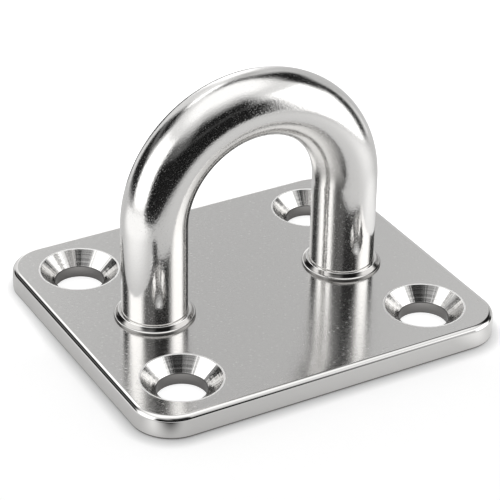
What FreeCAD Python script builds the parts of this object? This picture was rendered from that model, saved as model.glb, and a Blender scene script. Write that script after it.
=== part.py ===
# Eye plate: a flat plate with four countersunk screw holes that carries a round bar bent to an eye.
# The bar's two legs pass through the plate. A weld bead runs round each leg on the top face, and
# a second weld fills a chamfer round each leg's end on the underside and is ground flush.
# Frame: millimetres, origin at the centre of the underside, +Z up, +X along the plate's long edge.

import FreeCAD, Part
import math
import os
import Sketcher
from FreeCAD import Vector

SIZES = (
    ("plate_length", 48.0, "plate along X"),
    ("plate_width", 41.5, "plate along Y"),
    ("plate_thickness", 3.0, "sheet stock"),
    ("corner_radius", 5.0, "plate corners seen from above"),
    ("top_edge_radius", 0.7, "rounding of the plate's upper edge"),
    ("bottom_edge_break", 0.35, "chamfer of the plate's lower edge"),
    ("screw_spacing_x", 33.0, "screw hole centres along X"),
    ("screw_spacing_y", 27.0, "screw hole centres along Y"),
    ("screw_hole_diameter", 6.0, "straight part of a screw hole"),
    ("countersink_diameter", 9.6, "mouth of a screw hole"),
    ("countersink_angle", 100.0, "full angle of the cone, in degrees"),
    ("countersink_edge_break", 0.12, "chamfer of the mouth's edge"),
    ("bar_diameter", 8.0, "round bar of the eye"),
    ("leg_spacing", 26.0, "centres of the bar's two legs"),
    ("bend_height", 15.0, "centre of the bend above the underside"),
    ("leg_clearance", 0.1, "radial gap between a leg and its hole"),
    ("bead_reach", 0.9, "top weld bead, outwards from the leg"),
    ("bead_rise", 0.8, "top weld bead, upwards along the leg"),
    ("bead_toe_inset", 0.06, "how far the bead's steep toe leans in from its rim"),
    ("bead_toe_height", 0.22, "top of the bead's steep toe"),
    ("bead_crown_inset", 0.5, "rim to the inner end of the bead's flat crown"),
    ("bead_crown_height", 0.4, "inner end of the bead's flat crown"),
    ("weld_prep", 1.0, "chamfer round a leg's hole on the underside, filled by weld"),
)

LEG_SIDES = {"left": -1, "right": 1}
QUARTER_TURN = math.pi / 2
NEAR = 1e-4


def make_sheet(doc):
    sheet = doc.addObject("Spreadsheet::Sheet", "sizes")
    for row, (alias, value, note) in enumerate(SIZES, start=1):
        sheet.set(f"A{row}", alias)
        sheet.set(f"B{row}", str(value))
        sheet.set(f"C{row}", note)
        sheet.setAlias(f"B{row}", alias)
    doc.recompute()
    return sheet


def make_body(doc, label):
    body = doc.addObject("PartDesign::Body", label)
    body.Label = label
    return body


def make_sketch(body, name, plane):
    sketch = body.newObject("Sketcher::SketchObject", name)
    support = next(f for f in body.Origin.OriginFeatures if f.Role == plane)
    sketch.AttachmentSupport = [(support, "")]
    sketch.MapMode = "FlatFace"
    return sketch


def raise_to_top_face(sketch):
    sketch.setExpression("AttachmentOffset.Base.z", "sizes.plate_thickness")


def relate(sketch, kind, *elements):
    sketch.addConstraint(Sketcher.Constraint(kind, *elements))


def dimension(sketch, name, expression, kind, *elements):
    index = sketch.addConstraint(Sketcher.Constraint(kind, *elements))
    sketch.renameConstraint(index, name)
    sketch.setExpression(f"Constraints.{name}", expression)


def add_line(sketch, start, end):
    return sketch.addGeometry(Part.LineSegment(Vector(*start, 0), Vector(*end, 0)))


def add_arc(sketch, centre, radius, start_angle, end_angle):
    circle = Part.Circle(Vector(*centre, 0), Vector(0, 0, 1), radius)
    return sketch.addGeometry(Part.ArcOfCircle(circle, start_angle, end_angle))


def add_circle(sketch, centre, radius):
    return sketch.addGeometry(Part.Circle(Vector(*centre, 0), Vector(0, 0, 1), radius))


def edges_where(feature, test):
    return [f"Edge{n}" for n, edge in enumerate(feature.Shape.Edges, start=1) if test(edge)]


def lies_at(edge, height):
    box = edge.BoundBox
    return abs(box.ZMin - height) < NEAR and abs(box.ZMax - height) < NEAR


def is_circle_at(edge, radius, height):
    if not isinstance(edge.Curve, Part.Circle):
        return False
    return abs(edge.Curve.Radius - radius) < NEAR and lies_at(edge, height)


def dress_edges(body, kind, name, base, edges, size_name, expression):
    feature = body.newObject(f"PartDesign::{kind}", name)
    feature.Base = (base, edges)
    feature.setExpression(size_name, expression)
    body.Document.recompute()
    return feature


# Plate

def plate_outline(body, sheet):
    sketch = make_sketch(body, "PlateOutline", "XY_Plane")
    radius = sheet.corner_radius
    x = sheet.plate_length / 2 - radius
    y = sheet.plate_width / 2 - radius
    centres = ((x, y), (-x, y), (-x, -y), (x, -y))
    arcs = [add_arc(sketch, centre, radius, turn * QUARTER_TURN, (turn + 1) * QUARTER_TURN)
            for turn, centre in enumerate(centres)]
    sides = []
    for turn, arc in enumerate(arcs):
        following = arcs[(turn + 1) % 4]
        start = sketch.getPoint(arc, 2)
        end = sketch.getPoint(following, 1)
        side = add_line(sketch, (start.x, start.y), (end.x, end.y))
        relate(sketch, "Tangent", arc, 2, side, 1)
        relate(sketch, "Tangent", side, 2, following, 1)
        relate(sketch, ("Horizontal", "Vertical")[turn % 2], side)
        sides.append(side)
    for arc in arcs[1:]:
        relate(sketch, "Equal", arcs[0], arc)
    relate(sketch, "Symmetric", arcs[0], 3, arcs[2], 3, -1, 1)
    upper, left, lower, right = sides
    dimension(sketch, "length", "sizes.plate_length", "DistanceX", left, 1, right, 1, sheet.plate_length)
    dimension(sketch, "width", "sizes.plate_width", "DistanceY", lower, 1, upper, 1, sheet.plate_width)
    dimension(sketch, "corner", "sizes.corner_radius", "Radius", arcs[0], radius)
    return sketch


def leg_hole_circles(body, sheet):
    sketch = make_sketch(body, "LegHoleCircles", "XY_Plane")
    raise_to_top_face(sketch)
    radius = sheet.bar_diameter / 2 + sheet.leg_clearance
    centres = [(side * sheet.leg_spacing / 2, 0) for side in LEG_SIDES.values()]
    left, right = [add_circle(sketch, centre, radius) for centre in centres]
    relate(sketch, "Symmetric", left, 3, right, 3, -1, 1)
    relate(sketch, "PointOnObject", right, 3, -1)
    relate(sketch, "Equal", left, right)
    dimension(sketch, "spacing", "sizes.leg_spacing", "DistanceX", left, 3, right, 3, sheet.leg_spacing)
    dimension(sketch, "radius", "sizes.bar_diameter / 2 + sizes.leg_clearance", "Radius", left, radius)
    return sketch


def screw_hole_circles(body, sheet):
    sketch = make_sketch(body, "ScrewHoleCircles", "XY_Plane")
    raise_to_top_face(sketch)
    x = sheet.screw_spacing_x / 2
    y = sheet.screw_spacing_y / 2
    corners = ((x, y), (-x, y), (-x, -y), (x, -y))
    radius = sheet.screw_hole_diameter / 2
    first, second, third, fourth = [add_circle(sketch, corner, radius) for corner in corners]
    relate(sketch, "Symmetric", first, 3, third, 3, -1, 1)
    relate(sketch, "Symmetric", second, 3, fourth, 3, -1, 1)
    relate(sketch, "Horizontal", first, 3, second, 3)
    for circle in (second, third, fourth):
        relate(sketch, "Equal", first, circle)
    dimension(sketch, "across", "sizes.screw_spacing_x", "DistanceX", second, 3, first, 3, 2 * x)
    dimension(sketch, "along", "sizes.screw_spacing_y", "DistanceY", fourth, 3, first, 3, 2 * y)
    dimension(sketch, "hole", "sizes.screw_hole_diameter", "Diameter", first, 2 * radius)
    return sketch


def cut_leg_holes(body, sheet):
    pocket = body.newObject("PartDesign::Pocket", "LegHoles")
    pocket.Profile = leg_hole_circles(body, sheet)
    pocket.Type = "ThroughAll"
    body.Document.recompute()
    radius = sheet.bar_diameter / 2 + sheet.leg_clearance
    mouths = edges_where(pocket, lambda edge: is_circle_at(edge, radius, 0))
    return dress_edges(body, "Chamfer", "WeldPrep", pocket, mouths, "Size", "sizes.weld_prep")


def cut_screw_holes(body, sheet):
    circles = screw_hole_circles(body, sheet)
    body.Document.recompute()
    hole = body.newObject("PartDesign::Hole", "ScrewHoles")
    hole.Profile = circles
    body.Document.recompute()
    hole.DepthType = "ThroughAll"
    hole.HoleCutType = "Countersink"
    hole.HoleCutCustomValues = True
    hole.setExpression("Diameter", "sizes.screw_hole_diameter")
    hole.setExpression("HoleCutDiameter", "sizes.countersink_diameter")
    hole.setExpression("HoleCutCountersinkAngle", "sizes.countersink_angle")
    body.Document.recompute()
    radius = sheet.countersink_diameter / 2
    mouths = edges_where(hole, lambda edge: is_circle_at(edge, radius, sheet.plate_thickness))
    return dress_edges(body, "Chamfer", "CountersinkEdges", hole, mouths, "Size",
                       "sizes.countersink_edge_break")


def make_plate(doc, sheet):
    body = make_body(doc, "base_plate")
    pad = body.newObject("PartDesign::Pad", "Blank")
    pad.Profile = plate_outline(body, sheet)
    pad.setExpression("Length", "sizes.plate_thickness")
    doc.recompute()
    upper = edges_where(pad, lambda edge: lies_at(edge, sheet.plate_thickness))
    rounded = dress_edges(body, "Fillet", "UpperEdge", pad, upper, "Radius", "sizes.top_edge_radius")
    lower = edges_where(rounded, lambda edge: lies_at(edge, 0))
    dress_edges(body, "Chamfer", "LowerEdge", rounded, lower, "Size", "sizes.bottom_edge_break")
    cut_leg_holes(body, sheet)
    cut_screw_holes(body, sheet)
    return body


# Bent bar

def bar_section(body, sheet):
    sketch = make_sketch(body, "BarSection", "XY_Plane")
    offset = sheet.leg_spacing / 2
    circle = add_circle(sketch, (-offset, 0), sheet.bar_diameter / 2)
    relate(sketch, "PointOnObject", circle, 3, -1)
    dimension(sketch, "offset", "sizes.leg_spacing / 2", "DistanceX", circle, 3, -1, 1, offset)
    dimension(sketch, "section", "sizes.bar_diameter", "Diameter", circle, sheet.bar_diameter)
    return sketch


def bar_path(body, sheet):
    sketch = make_sketch(body, "BarPath", "XZ_Plane")
    radius = sheet.leg_spacing / 2
    height = sheet.bend_height
    left = add_line(sketch, (-radius, 0), (-radius, height))
    bend = add_arc(sketch, (0, height), radius, 0, math.pi)
    right = add_line(sketch, (radius, height), (radius, 0))
    relate(sketch, "Tangent", left, 2, bend, 2)
    relate(sketch, "Tangent", bend, 1, right, 1)
    relate(sketch, "Vertical", left)
    relate(sketch, "Vertical", right)
    relate(sketch, "PointOnObject", left, 1, -1)
    relate(sketch, "PointOnObject", right, 2, -1)
    relate(sketch, "PointOnObject", bend, 3, -2)
    dimension(sketch, "spacing", "sizes.leg_spacing", "DistanceX", left, 1, right, 2, 2 * radius)
    dimension(sketch, "height", "sizes.bend_height", "DistanceY", -1, 1, bend, 3, height)
    return sketch


def make_bow(doc, sheet):
    body = make_body(doc, "eye_bow")
    section = bar_section(body, sheet)
    path = bar_path(body, sheet)
    doc.recompute()
    pipe = body.newObject("PartDesign::AdditivePipe", "BentBar")
    pipe.Profile = section
    pipe.Spine = (path, [])
    doc.recompute()
    return body


# Welds

def section_polygon(body, name, corners):
    """A closed outline on the XZ plane, as the indices of its sides, from the leg's face outwards."""
    sketch = make_sketch(body, name, "XZ_Plane")
    sides = [add_line(sketch, start, end) for start, end in zip(corners, corners[1:] + corners[:1])]
    for side, following in zip(sides, sides[1:] + sides[:1]):
        relate(sketch, "Coincident", side, 2, following, 1)
    return sketch, sides


def bead_profile(body, sheet):
    """Half section of a top weld bead: steep toe, flat crown, and a throat that rises to the leg."""
    leg = sheet.bar_diameter / 2
    rim = leg + sheet.bead_reach
    toe = (rim - sheet.bead_toe_inset, sheet.bead_toe_height)
    crown = (rim - sheet.bead_crown_inset, sheet.bead_crown_height)
    corners = ((leg, sheet.bead_rise), (leg, 0), (rim, 0), toe, crown)
    sketch, (leg_face, seat, toe_side, crown_side, throat) = section_polygon(body, "BeadProfile", corners)
    relate(sketch, "Vertical", leg_face)
    relate(sketch, "Horizontal", seat)
    relate(sketch, "PointOnObject", seat, 1, -1)
    dimension(sketch, "leg", "sizes.bar_diameter / 2", "DistanceX", -1, 1, seat, 1, leg)
    dimension(sketch, "reach", "sizes.bead_reach", "DistanceX", seat, 1, seat, 2, sheet.bead_reach)
    dimension(sketch, "rise", "sizes.bead_rise", "DistanceY", leg_face, 2, leg_face, 1, sheet.bead_rise)
    dimension(sketch, "toe_inset", "sizes.bead_toe_inset", "DistanceX", toe_side, 2, seat, 2,
              sheet.bead_toe_inset)
    dimension(sketch, "toe_height", "sizes.bead_toe_height", "DistanceY", seat, 2, toe_side, 2,
              sheet.bead_toe_height)
    dimension(sketch, "crown_inset", "sizes.bead_crown_inset", "DistanceX", crown_side, 2, seat, 2,
              sheet.bead_crown_inset)
    dimension(sketch, "crown_height", "sizes.bead_crown_height", "DistanceY", seat, 2, throat, 1,
              sheet.bead_crown_height)
    return sketch


def prep_profile(body, sheet):
    """Half section of the weld that fills the chamfer between a leg and the plate's underside."""
    leg = sheet.bar_diameter / 2
    wall = leg + sheet.leg_clearance
    prep = sheet.weld_prep
    corners = ((leg, prep), (leg, 0), (wall + prep, 0), (wall, prep))
    sketch, (leg_face, flush, slope, root) = section_polygon(body, "PrepProfile", corners)
    relate(sketch, "Vertical", leg_face)
    relate(sketch, "Horizontal", flush)
    relate(sketch, "Horizontal", root)
    relate(sketch, "PointOnObject", flush, 1, -1)
    dimension(sketch, "leg", "sizes.bar_diameter / 2", "DistanceX", -1, 1, flush, 1, leg)
    dimension(sketch, "width", "sizes.leg_clearance + sizes.weld_prep", "DistanceX", flush, 1, flush, 2,
              sheet.leg_clearance + prep)
    dimension(sketch, "depth", "sizes.weld_prep", "DistanceY", leg_face, 2, leg_face, 1, prep)
    dimension(sketch, "gap", "sizes.leg_clearance", "DistanceX", root, 2, slope, 2, sheet.leg_clearance)
    return sketch


def make_ring(doc, sheet, label, side, profile, height):
    """A ring turned from the given half section and set round one leg."""
    body = make_body(doc, label)
    ring = body.newObject("PartDesign::Revolution", "Ring")
    ring.Profile = profile(body, sheet)
    ring.ReferenceAxis = (ring.Profile[0], ["V_Axis"])
    ring.Angle = 360
    body.setExpression("Placement.Base.x", f"{side} * sizes.leg_spacing / 2")
    body.setExpression("Placement.Base.z", height)
    doc.recompute()
    return body


def make_welds(doc, sheet):
    welds = []
    top = "sizes.plate_thickness"
    for name, side in LEG_SIDES.items():
        welds.append(make_ring(doc, sheet, f"weld_bead_{name}", side, bead_profile, top))
        welds.append(make_ring(doc, sheet, f"back_weld_{name}", side, prep_profile, "0"))
    return welds


# Checks and files

def check_document(doc, bodies):
    for feature in doc.Objects:
        if "Invalid" in feature.State or "Error" in feature.State:
            raise RuntimeError(f"{feature.Name} failed: {feature.State}")
    for body in bodies:
        if body.Shape.isNull() or not body.Shape.isValid() or len(body.Shape.Solids) != 1:
            raise RuntimeError(f"{body.Label} is not one valid solid")


def main():
    doc = FreeCAD.newDocument("eye_plate")
    sheet = make_sheet(doc)
    bodies = [make_plate(doc, sheet), make_bow(doc, sheet), *make_welds(doc, sheet)]
    doc.recompute()
    check_document(doc, bodies)
    os.makedirs("parts", exist_ok=True)
    for body in bodies:
        body.Shape.exportStep(f"parts/{body.Label}.step")
        print(f"{body.Label}: {body.Shape.Volume:.1f} mm3")


main()
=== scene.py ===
import math

import bpy
import numpy as np
from mathutils import Matrix, Vector
from mathutils.geometry import tessellate_polygon


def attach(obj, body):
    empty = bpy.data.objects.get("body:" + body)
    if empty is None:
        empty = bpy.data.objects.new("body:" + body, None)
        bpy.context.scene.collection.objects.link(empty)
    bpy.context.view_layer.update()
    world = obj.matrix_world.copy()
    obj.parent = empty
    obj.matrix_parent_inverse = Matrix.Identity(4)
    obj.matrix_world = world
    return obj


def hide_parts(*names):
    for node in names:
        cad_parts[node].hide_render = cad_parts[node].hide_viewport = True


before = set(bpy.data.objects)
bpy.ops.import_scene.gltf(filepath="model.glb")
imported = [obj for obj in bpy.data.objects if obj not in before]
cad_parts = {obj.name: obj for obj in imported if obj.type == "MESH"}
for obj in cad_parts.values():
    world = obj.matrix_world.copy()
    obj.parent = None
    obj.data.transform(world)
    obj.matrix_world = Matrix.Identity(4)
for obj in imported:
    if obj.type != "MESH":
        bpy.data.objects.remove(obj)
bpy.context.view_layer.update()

MM = 0.001

# Sizes of the part, in millimetres
PLATE_LENGTH = 48.0
PLATE_WIDTH = 41.5
PLATE_TOP = 3.0
CORNER_RADIUS = 5.0
UPPER_EDGE_RADIUS = 0.7
LOWER_EDGE_BREAK = 0.35
SCREW_X = 16.5
SCREW_Y = 13.5
HOLE_RADIUS = 3.0
MOUTH_RADIUS = 4.8
CONE_HALF_ANGLE = math.radians(50)
MOUTH_EDGE_RADIUS = 0.15
MOUTH_LAND = 0.13
HOLE_EDGE_RADIUS = 0.1
BAR_RADIUS = 4.0
LEG_X = 13.0
BEND_HEIGHT = 15.0
LEG_CLEARANCE = 0.1
WELD_PREP = 1.0
BEAD_SINK = 0.03

# Half section of a bead, as distance from the leg's axis and height above the plate
BEAD_PROFILE = (
    (4.90, 0.0), (4.90, 0.12), (4.885, 0.18), (4.84, 0.225), (4.77, 0.255), (4.70, 0.30),
    (4.63, 0.38), (4.56, 0.48), (4.49, 0.58), (4.43, 0.68), (4.385, 0.755), (4.345, 0.79),
    (4.28, 0.80), (4.15, 0.80), (4.06, 0.765), (3.99, 0.70),
)
# Where the toe, dark steel as painted shade where the bead meets the plate, the polished ledge and the
# darker face end, as distances from the leg's axis
TOE_END = 4.8
LEDGE_END = 4.69
FACE_END = 4.39

# How finely the meshes are divided
CORNER_STEPS = 24
CIRCLE_STEPS = 128
RIM_STEPS = 8
MOUTH_STEPS = 5
SMALL_EDGE_STEPS = 4
BEAD_STEPS = 6
BAR_AROUND = 128
BEND_STEPS = 160
LEG_STEPS = 30

# Profile points that are closer than this, in millimetres, share their mesh points
SAME_POINT = 1e-6


class Piece:
    """The points, faces and exact corner normals of one mesh, in millimetres."""

    def __init__(self, name):
        self.name = name
        self.points = []
        self.faces = []
        self.normals = []
        self.slots = []

    def ring(self, points):
        """Adds points and returns their numbers."""
        start = len(self.points)
        self.points.extend(map(tuple, points))
        return np.arange(start, start + len(points))

    def face(self, indices, normals, slot):
        self.faces.append(tuple(int(i) for i in indices))
        self.normals.extend(tuple(n) for n in normals)
        self.slots.append(slot)

    def band(self, first, first_normals, second, second_normals, slot=0):
        """Quads between two closed rings, turned so that they face the way their normals point."""
        count = len(first)
        a, b, c = (np.array(self.points[i]) for i in (first[0], second[0], first[1]))
        outward = np.dot(np.cross(b - a, c - a), first_normals[0] + second_normals[0]) > 0
        for j in range(count):
            k = (j + 1) % count
            corners = [(first[j], first_normals[j]), (second[j], second_normals[j]),
                       (second[k], second_normals[k]), (first[k], first_normals[k])]
            if not outward:
                corners.reverse()
            self.face([i for i, _ in corners], [n for _, n in corners], slot)

    def cap(self, rings, up):
        """A flat face in slot 0, bounded by the first ring, with the other rings as its holes."""
        loops = [[Vector(self.points[i]) for i in ring] for ring in rings]
        flat = np.concatenate(rings)
        for triangle in tessellate_polygon(loops):
            a, b, c = (np.array(self.points[flat[i]]) for i in triangle)
            rising = np.cross(b - a, c - a)[2] > 0
            ordered = triangle if rising == (up > 0) else triangle[::-1]
            self.face([flat[i] for i in ordered], [(0, 0, up)] * 3, 0)

    def build(self, materials, slot_name, *nodes):
        """Makes the Blender object, which takes the place of the CAD nodes named."""
        mesh = bpy.data.meshes.new(self.name)
        mesh.from_pydata([(x * MM, y * MM, z * MM) for x, y, z in self.points], [], self.faces)
        for material in materials:
            mesh.materials.append(material)
        mesh.polygons.foreach_set("material_index", self.slots)
        mesh.polygons.foreach_set("use_smooth", [True] * len(self.faces))
        mesh.normals_split_custom_set(self.normals)
        piece = bpy.data.objects.new(self.name, mesh)
        bpy.context.scene.collection.objects.link(piece)
        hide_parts(*nodes)
        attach(piece, "root")
        return piece


class Outline:
    """A closed line seen from above, as centres and unit directions that an offset runs along."""

    def __init__(self, centres, angles):
        self.centres = np.array(centres)
        self.directions = np.column_stack([np.cos(angles), np.sin(angles)])

    def points(self, offset, height):
        flat = self.centres + offset * self.directions
        return np.column_stack([flat, np.full(len(flat), height)])

    def normals(self, outward, upward):
        length = math.hypot(outward, upward)
        flat = self.directions * outward / length
        return np.column_stack([flat, np.full(len(flat), upward / length)])


def circle_outline(x, y):
    angles = np.linspace(0, 2 * math.pi, CIRCLE_STEPS, endpoint=False)
    return Outline(np.tile((x, y), (CIRCLE_STEPS, 1)), angles)


def plate_outline():
    x = PLATE_LENGTH / 2 - CORNER_RADIUS
    y = PLATE_WIDTH / 2 - CORNER_RADIUS
    centres = []
    angles = []
    for turn, centre in enumerate(((x, y), (-x, y), (-x, -y), (x, -y))):
        start = turn * math.pi / 2
        angles.extend(np.linspace(start, start + math.pi / 2, CORNER_STEPS + 1))
        centres.extend([centre] * (CORNER_STEPS + 1))
    return Outline(centres, np.array(angles))


def arc(centre, radius, start, end, steps):
    """Profile points (offset, height) and their normals on an arc, with angles in degrees."""
    rows = []
    for angle in np.radians(np.linspace(start, end, steps + 1)):
        normal = (math.cos(angle), math.sin(angle))
        rows.append(((centre[0] + radius * normal[0], centre[1] + radius * normal[1]), normal))
    return rows


def flat_run(start, end, normal):
    return [(start, normal), (end, normal)]


def sweep(piece, outline, runs, slots, closed=False):
    """Carries a profile, given as runs of (point, normal) rows, round an outline. Returns its end rings."""
    first_point = first_ring = last_point = last_ring = None
    for run, slot in zip(runs, slots):
        rows = []
        for point, normal in run:
            if last_ring is not None and math.dist(point, last_point) < SAME_POINT:
                ring = last_ring
            elif closed and first_ring is not None and math.dist(point, first_point) < SAME_POINT:
                ring = first_ring
            else:
                ring = piece.ring(outline.points(*point))
            if first_ring is None:
                first_point, first_ring = point, ring
            last_point, last_ring = point, ring
            rows.append((ring, outline.normals(*normal)))
        for first, second in zip(rows, rows[1:]):
            piece.band(*first, *second, slot)
    return first_ring, last_ring


def make_plate(materials):
    """Slots: 0 top and underside, 1 rim, 2 countersinks, 3 hole walls and the lower edge, darker steel as
    painted shade,
    4 edge of a countersink's mouth, near-white steel as a painted highlight, 5 edges of a hole, near-black
    steel as painted shade."""
    piece = Piece("plate")
    upper = UPPER_EDGE_RADIUS
    lower = LOWER_EDGE_BREAK
    runs = [arc((CORNER_RADIUS - upper, PLATE_TOP - upper), upper, 90, 0, RIM_STEPS),
            flat_run((CORNER_RADIUS, PLATE_TOP - upper), (CORNER_RADIUS, lower), (1, 0)),
            arc((CORNER_RADIUS - lower, lower), lower, 0, -90, SMALL_EDGE_STEPS)]
    # The lower edge takes slot 3: painted shade, a dark line where the plate meets the floor.
    ends = [sweep(piece, plate_outline(), runs, [1, 1, 3])]
    for x in (-SCREW_X, SCREW_X):
        for y in (-SCREW_Y, SCREW_Y):
            ends.append(sweep(piece, circle_outline(x, y), *screw_hole_profile()))
    for x in (-LEG_X, LEG_X):
        ends.append(sweep(piece, circle_outline(x, 0), leg_hole_profile(), [3, 3]))
    tops, bottoms = zip(*ends)
    piece.cap(tops, 1)
    piece.cap(bottoms, -1)
    return piece.build(materials, "satin_stainless", "base_plate")


def screw_hole_profile():
    """From the mouth's rounded edge down the cone and the straight wall to the underside, with its slots."""
    slope = CONE_HALF_ANGLE
    cone_normal = (-math.cos(slope), math.sin(slope))
    tilt = math.degrees(math.atan2(cone_normal[1], cone_normal[0]))
    edge = MOUTH_EDGE_RADIUS
    reach = edge * math.tan((math.radians(tilt - 90)) / 2)
    mouth = arc((MOUTH_RADIUS + reach, PLATE_TOP - edge), edge, 90, tilt, MOUTH_STEPS)
    depth = (MOUTH_RADIUS - HOLE_RADIUS) / math.tan(slope)
    throat = PLATE_TOP - depth
    small = HOLE_EDGE_RADIUS
    lean = small * math.tan((math.radians(180 - tilt)) / 2)
    throat_edge = arc((HOLE_RADIUS + small, throat - lean), small, tilt, 180, SMALL_EDGE_STEPS)
    foot = arc((HOLE_RADIUS + small, small), small, 180, 270, SMALL_EDGE_STEPS)
    cone = flat_run(mouth[-1][0], throat_edge[0][0], cone_normal)
    wall = flat_run(throat_edge[-1][0], foot[0][0], (-1, 0))
    # The land and the mouth's rounded edge take slot 4, a painted highlight.
    land = flat_run((mouth[0][0][0] + MOUTH_LAND, PLATE_TOP), mouth[0][0], (0, 1))
    return [land, mouth, cone, throat_edge, wall, foot], [4, 4, 2, 5, 3, 5]


def leg_hole_profile():
    """The clearance hole for a leg, and the weld preparation that widens it below."""
    wall = BAR_RADIUS + LEG_CLEARANCE
    return [flat_run((wall, PLATE_TOP), (wall, WELD_PREP), (-1, 0)),
            flat_run((wall, WELD_PREP), (wall + WELD_PREP, 0), (-1, -1))]


def bar_path():
    """Along the bent bar from the left leg's end to the right one's: centres, outward directions in the
    plane of the bend, and the length of bar that lies behind."""
    heights = np.linspace(0, BEND_HEIGHT, LEG_STEPS + 1)
    rows = [((-LEG_X, z), (-1.0, 0.0), z) for z in heights[:-1]]
    for angle in np.linspace(math.pi, 0, BEND_STEPS + 1):
        out = (math.cos(angle), math.sin(angle))
        rows.append(((LEG_X * out[0], BEND_HEIGHT + LEG_X * out[1]), out,
                     BEND_HEIGHT + LEG_X * (math.pi - angle)))
    total = 2 * BEND_HEIGHT + LEG_X * math.pi
    rows += [((LEG_X, z), (1.0, 0.0), total - z) for z in heights[-2::-1]]
    return rows


# The mesh attribute that holds each point's place on the unbent bar
STRAIGHT_BAR = "straight_bar"


def make_bow(material):
    piece = Piece("bow")
    angles = np.linspace(0, 2 * math.pi, BAR_AROUND, endpoint=False)
    straight = []
    previous = None
    for (x, z), (out_x, out_z), along in bar_path():
        normals = np.column_stack([np.cos(angles) * out_x, np.sin(angles), np.cos(angles) * out_z])
        ring = piece.ring(np.array((x, 0, z)) + BAR_RADIUS * normals)
        straight.extend((BAR_RADIUS * math.cos(a), BAR_RADIUS * math.sin(a), along) for a in angles)
        if previous:
            piece.band(*previous, ring, normals)
        else:
            piece.cap([ring], -1)
        previous = (ring, normals)
    piece.cap([previous[0]], -1)
    bow = piece.build([material], "polished_stainless", "eye_bow")
    attribute = bow.data.attributes.new(STRAIGHT_BAR, "FLOAT_VECTOR", "POINT")
    attribute.data.foreach_set("vector", np.array(straight, np.float32).ravel())
    return bow


def smooth_profile(points):
    """A smooth line through profile points, with normals to the right of its run."""
    points = np.array(points, float)
    padded = np.vstack([2 * points[0] - points[1], points, 2 * points[-1] - points[-2]])
    line = []
    for a, b, c, d in zip(padded, padded[1:], padded[2:], padded[3:]):
        for t in np.linspace(0, 1, BEAD_STEPS, endpoint=False):
            line.append(0.5 * (2 * b + (c - a) * t + (2 * a - 5 * b + 4 * c - d) * t ** 2
                               + (3 * b - a - 3 * c + d) * t ** 3))
    line.append(points[-1])
    line = np.array(line)
    slope = np.gradient(line, axis=0)
    return [(tuple(p), (s[1], -s[0])) for p, s in zip(line, slope)]


def rows_beyond(rows, radius):
    """How many profile rows, which run inwards, lie farther from the axis than a radius."""
    return sum(point[0] > radius for point, _ in rows)


def make_bead(side, x, materials):
    """Slots: 0 polished ledge and crest, 1 toe, where the bead meets the plate, darkened as painted shade, 2
    darker face.
    """
    piece = Piece(f"bead_{side}")
    outer = smooth_profile([(r, PLATE_TOP + z) for r, z in BEAD_PROFILE])
    inner = BAR_RADIUS - BEAD_SINK
    top = outer[-1][0]
    base = PLATE_TOP - BEAD_SINK
    rim = outer[0][0]
    toe, ledge, face = (rows_beyond(outer, end) for end in (TOE_END, LEDGE_END, FACE_END))
    runs = [flat_run((rim[0], base), rim, (1, 0)),
            outer[:toe],
            outer[toe - 1:ledge],
            outer[ledge - 1:face],
            outer[face - 1:],
            flat_run(top, (inner, top[1]), (0, 1)),
            flat_run((inner, top[1]), (inner, base), (-1, 0)),
            flat_run((inner, base), (rim[0], base), (0, -1))]
    sweep(piece, circle_outline(x, 0), runs, [1, 1, 0, 2, 0, 0, 0, 0], closed=True)
    return piece.build(materials, "polished_weld", f"weld_bead_{side}")


def make_back_weld(side, x, material):
    piece = Piece(f"under_weld_{side}")
    wall = BAR_RADIUS + LEG_CLEARANCE
    corners = [(BAR_RADIUS, 0), (wall + WELD_PREP, 0), (wall, WELD_PREP), (BAR_RADIUS, WELD_PREP)]
    normals = [(0, -1), (1, 1), (0, 1), (-1, 0)]
    runs = [flat_run(a, b, n) for a, b, n in zip(corners, corners[1:] + corners[:1], normals)]
    sweep(piece, circle_outline(x, 0), runs, [0] * len(runs), closed=True)
    return piece.build([material], "ground_weld", f"back_weld_{side}")


# Camera, in millimetres and degrees, with the near clip in metres
CAMERA_TARGET = (-0.057, 0.034, 8.182)
CAMERA_DISTANCE = 262.16
CAMERA_AZIMUTH = -29.98
CAMERA_ELEVATION = 30.67
CAMERA_ROLL = 1.11
CAMERA_LENS = 156.55
CAMERA_SENSOR = 36
CAMERA_NEAR = 0.005


def make_camera():
    azimuth, elevation, roll = map(math.radians, (CAMERA_AZIMUTH, CAMERA_ELEVATION, CAMERA_ROLL))
    back = Vector((math.sin(azimuth) * math.cos(elevation), -math.cos(azimuth) * math.cos(elevation),
                   math.sin(elevation)))
    right = (-back).cross(Vector((0, 0, 1))).normalized()
    up = right.cross(-back)
    tilted_right = math.cos(roll) * right + math.sin(roll) * up
    tilted_up = -math.sin(roll) * right + math.cos(roll) * up
    data = bpy.data.cameras.new("camera")
    data.lens = CAMERA_LENS
    data.sensor_width = CAMERA_SENSOR
    data.clip_start = CAMERA_NEAR
    camera = bpy.data.objects.new("camera", data)
    bpy.context.scene.collection.objects.link(camera)
    place = (Vector(CAMERA_TARGET) + back * CAMERA_DISTANCE) * MM
    axes = Matrix((tilted_right, tilted_up, back)).transposed().to_4x4()
    camera.matrix_world = Matrix.Translation(place) @ axes
    bpy.context.scene.camera = camera


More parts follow.
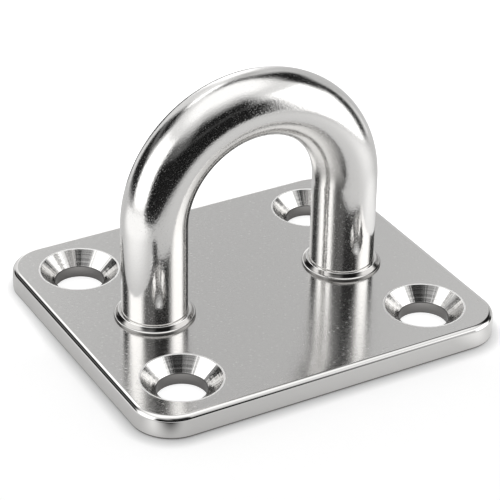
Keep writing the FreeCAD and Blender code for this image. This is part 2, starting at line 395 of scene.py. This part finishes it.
class Nodes:
    """Short calls for the nodes of one material or world."""

    def __init__(self, owner):
        owner.use_nodes = True
        self.tree = owner.node_tree

    def add(self, kind, *inputs, **settings):
        node = self.tree.nodes.new(kind)
        for key, value in settings.items():
            setattr(node, key, value)
        for socket, value in zip(node.inputs, inputs):
            self.feed(socket, value)
        return node

    def feed(self, socket, value):
        if isinstance(value, bpy.types.NodeSocket):
            self.tree.links.new(value, socket)
        elif value is not None:
            socket.default_value = value

    def math(self, operation, *inputs):
        return self.add("ShaderNodeMath", *inputs, operation=operation).outputs[0]

    def vector(self, operation, *inputs):
        """A vector, or a number where the operation gives one."""
        node = self.add("ShaderNodeVectorMath", *inputs, operation=operation)
        gives_number = operation in ("LENGTH", "DISTANCE", "DOT_PRODUCT")
        return node.outputs["Value" if gives_number else "Vector"]

    def turned(self, vector, angle):
        """A vector turned about the vertical axis."""
        node = self.add("ShaderNodeVectorRotate", vector, rotation_type="Z_AXIS")
        self.feed(node.inputs["Angle"], angle)
        return node.outputs[0]

    def noise(self, vector, scale, detail=1.0):
        node = self.add("ShaderNodeTexNoise", vector, None, scale, detail, noise_dimensions="3D")
        return node.outputs[0]

    def bump(self, height, depth, normal=None):
        """The normal of a surface that rises by depth, in metres, where height is 1."""
        node = self.add("ShaderNodeBump", 1.0, depth)
        self.feed(node.inputs["Height"], height)
        self.feed(node.inputs["Normal"], normal)
        return node.outputs[0]

    def step(self, value, low, high):
        """0 below low, 1 above high and smooth between; low may be the larger one."""
        node = self.add("ShaderNodeMapRange", value, low, high, 0.0, 1.0, interpolation_type="SMOOTHSTEP")
        return node.outputs[0]

    def blend(self, share, first, second):
        """A number that runs from first to second."""
        return self.add("ShaderNodeMix", share, None, first, second).outputs[0]


def metal(name, colour, roughness, anisotropy=0.0):
    """A metal that is the same all over, with its nodes and its shader's inputs for what is added to it."""
    material = bpy.data.materials.new(name)
    nodes = Nodes(material)
    shader = nodes.tree.nodes["Principled BSDF"].inputs
    shader["Base Color"].default_value = (*colour, 1)
    shader["Metallic"].default_value = 1
    shader["Roughness"].default_value = roughness
    shader["Anisotropic"].default_value = anisotropy
    return material, nodes, shader


def add_grain(nodes, shader, place, scale, depth):
    """Fine pits and lines of a finish; scale is in grains per millimetre, and depth in millimetres."""
    nodes.feed(shader["Normal"], nodes.bump(nodes.noise(place, scale), depth * MM))


FLECKS_START = 0.5
FLECKS_FULL = 0.75


def add_flecks(nodes, shader, place, scale, dull):
    """Fine flecks, duller than the roughness that the metal has; scale is in flecks per millimetre."""
    share = nodes.step(nodes.noise(place, scale), FLECKS_START, FLECKS_FULL)
    nodes.feed(shader["Roughness"], nodes.blend(share, shader["Roughness"].default_value, dull))


def in_millimetres(nodes):
    place = nodes.add("ShaderNodeTexCoord").outputs["Object"]
    return nodes.vector("MULTIPLY", place, (1 / MM, 1 / MM, 1 / MM))


STEEL = (0.76, 0.752, 0.74)
SATIN_STEEL = (0.72, 0.713, 0.703)

# The plate is brushed at this angle, and its grain and the bar's are longer than wide
BRUSH_ANGLE = math.radians(30)
BRUSH_STRETCH = (0.28, 1.0, 1.0)
BAR_STRETCH = (1.0, 1.0, 0.7)


def satin_metal():
    material, nodes, shader = metal("satin_stainless", SATIN_STEEL, 0.15)
    place = nodes.vector("MULTIPLY", nodes.turned(in_millimetres(nodes), BRUSH_ANGLE), BRUSH_STRETCH)
    add_grain(nodes, shader, place, scale=6.0, depth=0.003)
    add_flecks(nodes, shader, place, scale=7.0, dull=0.277)
    return material


def polished_bar():
    material, nodes, shader = metal("polished_bar", STEEL, 0.1)
    straight = nodes.add("ShaderNodeAttribute", attribute_name=STRAIGHT_BAR).outputs["Vector"]
    place = nodes.vector("MULTIPLY", straight, BAR_STRETCH)
    add_grain(nodes, shader, place, scale=5.0, depth=0.007)
    add_flecks(nodes, shader, place, scale=9.0, dull=0.29)
    return material


def hole_place(nodes):
    """The way from the axis of the nearest screw hole, in millimetres, flat on the plate."""
    place = in_millimetres(nodes)
    axis = nodes.vector("MULTIPLY", nodes.vector("SIGN", place), (SCREW_X, SCREW_Y, 0))
    return nodes.vector("MULTIPLY", nodes.vector("SUBTRACT", place, axis), (1, 1, 0))


# Marks of the cutter in a countersink, with heights in millimetres
CUTTER_LEAN = math.radians(14)
CUTTER_TWIST = math.radians(5)
RINGS_PER_MM = 4.0
RING_HEIGHT = 0.013
CHATTER_SCALE = 6.0
CHATTER_HEIGHT = 0.055


def turned_metal():
    """A countersink: the cutter's fine steps lean towards the axis and reflect what is in front of the part;
    chatter marks run down the cone."""
    material, nodes, shader = metal("turned_steel", STEEL, 0.19, 0.2)
    away = hole_place(nodes)
    nodes.feed(shader["Tangent"], away)
    radius = nodes.vector("LENGTH", away)
    height = nodes.math("MULTIPLY", radius, math.tan(CUTTER_LEAN) / math.sin(CONE_HALF_ANGLE))
    rings = nodes.add("ShaderNodeTexNoise", None, radius, RINGS_PER_MM, 1.0, noise_dimensions="1D")
    height = nodes.math("MULTIPLY_ADD", rings.outputs[0], RING_HEIGHT, height)
    chatter = nodes.noise(nodes.vector("NORMALIZE", away), CHATTER_SCALE, 2.0)
    height = nodes.math("MULTIPLY_ADD", chatter, CHATTER_HEIGHT, height)
    normal = nodes.add("ShaderNodeNewGeometry").outputs["Normal"]
    nodes.feed(shader["Normal"], nodes.bump(height, MM, nodes.turned(normal, CUTTER_TWIST)))
    return material


# The floor as the camera sees it, in metres. It glows so that it is white and still shows the real shadow,
# and the glow also
# paints shade and light: less glow close to the plate is a painted shadow, more glow behind the part than in
# front of it is painted light that fades the shadow there, and an even glow where the screw holes show the
# floor under the plate is painted light.
FLOOR_HALF = 2.0
FLOOR_COLOUR = 0.52
FLOOR_GLOW = 0.5
PAINTED_BACK_LIGHT_GLOW = 0.85
PAINTED_SHADOW_GLOW = 0.2
BACK_PAINTED_SHADOW_GLOW = 0.45
CONTACT_REACH = 0.002
PAINTED_UNDER_PLATE_LIGHT = 0.7
UNDER_MARGIN = 0.004
FRONT = (-0.5, -0.866, 0)
FRONT_FROM = 0.014
BACK_FROM = -0.006

# The floor as the metal sees it, out to the sweep: a darker copy of the floor that only reflections show,
# with round pools of painted light and round patches of painted shade. Each has its x and y, its radius and
# the softness of its edge in metres, and a pool also its strength.
METAL_FLOOR = 0.55
METAL_GLOW = 0.12
LIGHT_POOLS = (
    (-0.085, 0.0, 0.05, 0.012, 0.6),
    (0.06, -0.03, 0.022, 0.02, 0.4),
    (0.026, -0.04, 0.03, 0.02, 0.1),
    (-0.0262, -0.0205, 0.0025, 0.002, 0.35),
    (0.022, -0.0235, 0.0025, 0.002, 0.3),
    (0.034, -0.007, 0.012, 0.008, 0.36),
)
NEAR_PAINTED_SHADE = ((-0.0252, -0.0248, 0.0038, 0.002), (0.014, 0.062, 0.026, 0.004))
FAR_PAINTED_SHADE = ((-0.066, -0.066, 0.034, 0.01), (-0.045, -0.12, 0.059, 0.025))
PAINTED_SHADE_LEVEL = 0.02
# A painted pool of light on the floor under each screw hole, seen only in reflections.
HOLE_LIGHT = (SCREW_X * MM, SCREW_Y * MM, 0.001, 0.0016)
HOLE_GLOW = 0.7
SWEEP_NEAR = 0.085
SWEEP_FAR = 0.115


def spot(nodes, place, x, y, radius, soft):
    """1 within a round patch of the floor, 0 outside it and smooth between; in metres."""
    return nodes.step(nodes.vector("DISTANCE", place, (x, y, 0)), radius + soft, radius - soft)


def painted_shade_share(nodes, place, cards):
    """The share of a place of the floor that round patches of painted shade cover."""
    share = 0.0
    for card in cards:
        share = nodes.math("ADD", spot(nodes, place, *card), share)
    return share


def mirrored_floor(nodes, place, quarter):
    """The shade and the glow of the floor as the metal sees it: a darker copy of the floor, painted pools of
    light and patches of painted shade, seen only in reflections. The quarter is the place with both of its
    distances from the middle taken as positive, so that one rule serves all four corners."""
    near = painted_shade_share(nodes, place, NEAR_PAINTED_SHADE)
    far = painted_shade_share(nodes, place, FAR_PAINTED_SHADE)
    shade = nodes.blend(nodes.math("ADD", near, far), METAL_FLOOR, PAINTED_SHADE_LEVEL)
    glow = nodes.blend(near, METAL_GLOW, 0.0)
    for *pool, strength in LIGHT_POOLS:
        glow = nodes.math("MULTIPLY_ADD", spot(nodes, place, *pool), strength, glow)
    glow = nodes.blend(far, glow, 0.0)
    glow = nodes.math("MULTIPLY_ADD", spot(nodes, quarter, *HOLE_LIGHT), HOLE_GLOW, glow)
    return shade, glow


def under_plate(nodes, quarter):
    """1 well under the plate, 0 from its sides outwards and smooth between."""
    x, y, _ = nodes.add("ShaderNodeSeparateXYZ", quarter).outputs
    half_length, half_width = PLATE_LENGTH / 2 * MM, PLATE_WIDTH / 2 * MM
    return nodes.math("MULTIPLY",
                      nodes.step(x, half_length, half_length - UNDER_MARGIN),
                      nodes.step(y, half_width, half_width - UNDER_MARGIN))


def beside_plate(nodes, quarter):
    """The distance from the plate's outline, in metres, and below 0 within it."""
    corner = ((PLATE_LENGTH / 2 - CORNER_RADIUS) * MM, (PLATE_WIDTH / 2 - CORNER_RADIUS) * MM, 0)
    outside = nodes.vector("MAXIMUM", nodes.vector("SUBTRACT", quarter, corner), (0, 0, 0))
    return nodes.math("SUBTRACT", nodes.vector("LENGTH", outside), CORNER_RADIUS * MM)


def seen_glow(nodes, place, quarter):
    """The glow of the floor as the camera sees it: painted shadow close to the plate, painted light behind
    the part and under the plate.
    """
    behind = nodes.step(nodes.vector("DOT_PRODUCT", place, FRONT), FRONT_FROM, BACK_FROM)
    painted_contact_shadow = nodes.blend(behind, PAINTED_SHADOW_GLOW, BACK_PAINTED_SHADOW_GLOW)
    farther = nodes.blend(behind, FLOOR_GLOW, PAINTED_BACK_LIGHT_GLOW)
    away = nodes.step(beside_plate(nodes, quarter), 0.0, CONTACT_REACH)
    return nodes.blend(under_plate(nodes, quarter), nodes.blend(away, painted_contact_shadow, farther), PAINTED_UNDER_PLATE_LIGHT)


def floor_material():
    """Pale and matt. The camera sees it as white with the part's shadow on it, partly real and partly
    painted by its glow; the metal sees only the near part of it, a darker copy with painted pools of light
    and patches of painted shade, out to the edge of a white sweep."""
    material = bpy.data.materials.new("floor")
    nodes = Nodes(material)
    nodes.tree.nodes.clear()
    glossy = nodes.add("ShaderNodeLightPath").outputs["Is Glossy Ray"]
    place = nodes.add("ShaderNodeTexCoord").outputs["Object"]
    quarter = nodes.vector("ABSOLUTE", place)
    metal_shade, metal_glow = mirrored_floor(nodes, place, quarter)
    shade = nodes.blend(glossy, FLOOR_COLOUR, metal_shade)
    colour = nodes.add("ShaderNodeCombineColor", shade, shade, shade).outputs[0]
    matt = nodes.add("ShaderNodeBsdfDiffuse", colour).outputs[0]
    strength = nodes.blend(glossy, seen_glow(nodes, place, quarter), metal_glow)
    glow = nodes.add("ShaderNodeEmission", (1, 1, 1, 1), strength).outputs[0]
    lit = nodes.add("ShaderNodeAddShader", matt, glow).outputs[0]
    beyond = nodes.step(nodes.vector("LENGTH", place), SWEEP_NEAR, SWEEP_FAR)
    gone = nodes.math("MULTIPLY", beyond, glossy)
    clear = nodes.add("ShaderNodeBsdfTransparent").outputs[0]
    shown = nodes.add("ShaderNodeMixShader", gone, lit, clear).outputs[0]
    nodes.add("ShaderNodeOutputMaterial", shown)
    return material


def make_floor():
    mesh = bpy.data.meshes.new("floor")
    size = FLOOR_HALF
    mesh.from_pydata([(-size, -size, 0), (size, -size, 0), (size, size, 0), (-size, size, 0)], [],
                     [(0, 1, 2, 3)])
    mesh.materials.append(floor_material())
    floor = bpy.data.objects.new("floor", mesh)
    bpy.context.scene.collection.objects.link(floor)


# What the metal sees round it, each a soft-edged rectangle: azimuth and elevation of its centre, its half
# width and half height, how soft its sides and its ends are, all in degrees, its lean, and its brightness.
# Azimuth 0 is in front, towards -Y, and 90 is to the right. A later one lies over the earlier ones.
ROOM = 0.95
LAMPS = (
    (0, 90, 400, 31, 10, 8, 0, 1.35),  # overhead, all round
    (-94, 17, 27, 23, 7, 8, 0, 2.0),  # left
    (58.5, 9, 22.5, 28, 6, 8, 0, 2.0),  # front right
    (166, 8, 14, 20, 6, 8, 0, 1.7),  # behind
    (66, 25, 22, 12, 6, 6, 0, 2.0),  # front right, high
)
CARDS = (
    (-12, 58, 44, 12, 18, 12, 0, 0.75),  # front, under the overhead lamp
    (-44, 30, 22, 14, 12, 14, 0, 0.13),  # front left, high
    (-56, 14, 12, 14, 10, 12, 0, 0.1),  # front left
    (-18, 5, 48, 19, 6, 5, 0, 0.008),  # front, wide
    (-28, -12, 38, 7, 10, 5, 0, 0.008),  # front, low
    (-2, 34, 28, 18, 9, 13, -0.1, 0.008),  # front, high
    (-149, 32, 19, 12, 10, 9, 0, 0.015),  # rear left, high
    (-143.5, 6, 24.5, 16, 9, 8, -0.6, 0.015),  # rear left
    (142, 32, 20, 10, 12, 9, 0, 0.56),  # rear right, high
    (132, 31, 12, 9, 8, 8, 0, 0.8),  # rear right, a paler part of it
    (146, 51, 34, 7, 16, 6, 0, 0.2),  # rear right, under the overhead lamp
    (110, 36, 24, 15, 9, 8, 0.3, 0.01),  # right, high
    (94, 8, 10, 22, 7, 6, 0.55, 0.03),  # right
    (128, 2, 20, 20, 6, 8, 0, 0.62),  # rear right
    (-181, 5, 13, 25, 6, 8, 0, 0.86),  # behind
    (165, -14, 13, 9, 3, 3, 0, 0.03),  # behind, low
    (-176, 43, 16, 5, 6, 4, 0, 1.8),  # behind, a bright strip
)


def patch(nodes, azimuth, elevation, across, high, half_width, half_height, side_soft, end_soft, lean):
    """1 within a lamp or a card, 0 outside it and smooth between."""
    rise = nodes.math("SUBTRACT", elevation, high)
    shift = nodes.math("MULTIPLY_ADD", rise, -lean, azimuth)
    turned = nodes.math("WRAP", nodes.math("SUBTRACT", shift, across), -180.0, 180.0)
    beside = nodes.math("ABSOLUTE", turned)
    above = nodes.math("ABSOLUTE", rise)
    return nodes.math("MULTIPLY",
                      nodes.step(beside, half_width + side_soft, half_width - side_soft),
                      nodes.step(above, half_height + end_soft, half_height - end_soft))


def make_world():
    """White to the camera, even light on matt surfaces, and a studio of lamps and cards to the metal."""
    world = bpy.data.worlds.new("studio")
    nodes = Nodes(world)
    nodes.tree.nodes.clear()
    glossy = nodes.add("ShaderNodeLightPath").outputs["Is Glossy Ray"]
    direction = nodes.add("ShaderNodeTexCoord").outputs["Generated"]
    x, y, z = nodes.add("ShaderNodeSeparateXYZ", direction).outputs
    ahead = nodes.math("MULTIPLY", y, -1.0)
    azimuth = nodes.math("DEGREES", nodes.math("ARCTAN2", x, ahead))
    elevation = nodes.math("DEGREES", nodes.math("ARCSINE", z))
    level = ROOM
    for *shape, brightness in LAMPS + CARDS:
        level = nodes.blend(patch(nodes, azimuth, elevation, *shape), level, brightness)
    metal_sees = nodes.blend(glossy, 1.0, level)
    background = nodes.add("ShaderNodeBackground", (1, 1, 1, 1), metal_sees).outputs[0]
    nodes.add("ShaderNodeOutputWorld", background)
    bpy.context.scene.world = world


satin = satin_metal()
polished = polished_bar()
rim = metal("polished_rim", STEEL, 0.07)[0]
turned = turned_metal()
# Darker steel: painted shade on the hole walls and on the plate's lower edge.
painted_shade_steel = metal("wall_steel_painted_shade", (0.27, 0.264, 0.257), 0.2)[0]
# Near-white steel: a painted highlight round the mouth of a countersink.
land = metal("countersink_painted_highlight", (0.95, 0.945, 0.935), 0.5)[0]
# Near-black steel: painted shade on the throat and foot edges of a hole.
hole_edge_painted_shade = metal("painted_shade_hole_edge", (0.1, 0.098, 0.095), 0.3)[0]
bead = metal("polished_bead", STEEL, 0.08)[0]
# A darker steel for the bead's face.
face = metal("darker_bead_face", (0.38, 0.372, 0.361), 0.12)[0]
# Dark steel at the toe: painted shade in the crease where the bead meets the plate.
toe = metal("weld_toe_painted_shade", (0.28, 0.274, 0.265), 0.3)[0]
ground = metal("ground_weld", (0.6, 0.594, 0.585), 0.35)[0]
make_plate([satin, rim, turned, painted_shade_steel, land, hole_edge_painted_shade])
make_bow(polished)
for side, x in (("left", -LEG_X), ("right", LEG_X)):
    make_bead(side, x, [bead, toe, face])
    make_back_weld(side, x, ground)
make_floor()
make_world()
make_camera()
bpy.context.scene.view_settings.view_transform = "Standard"
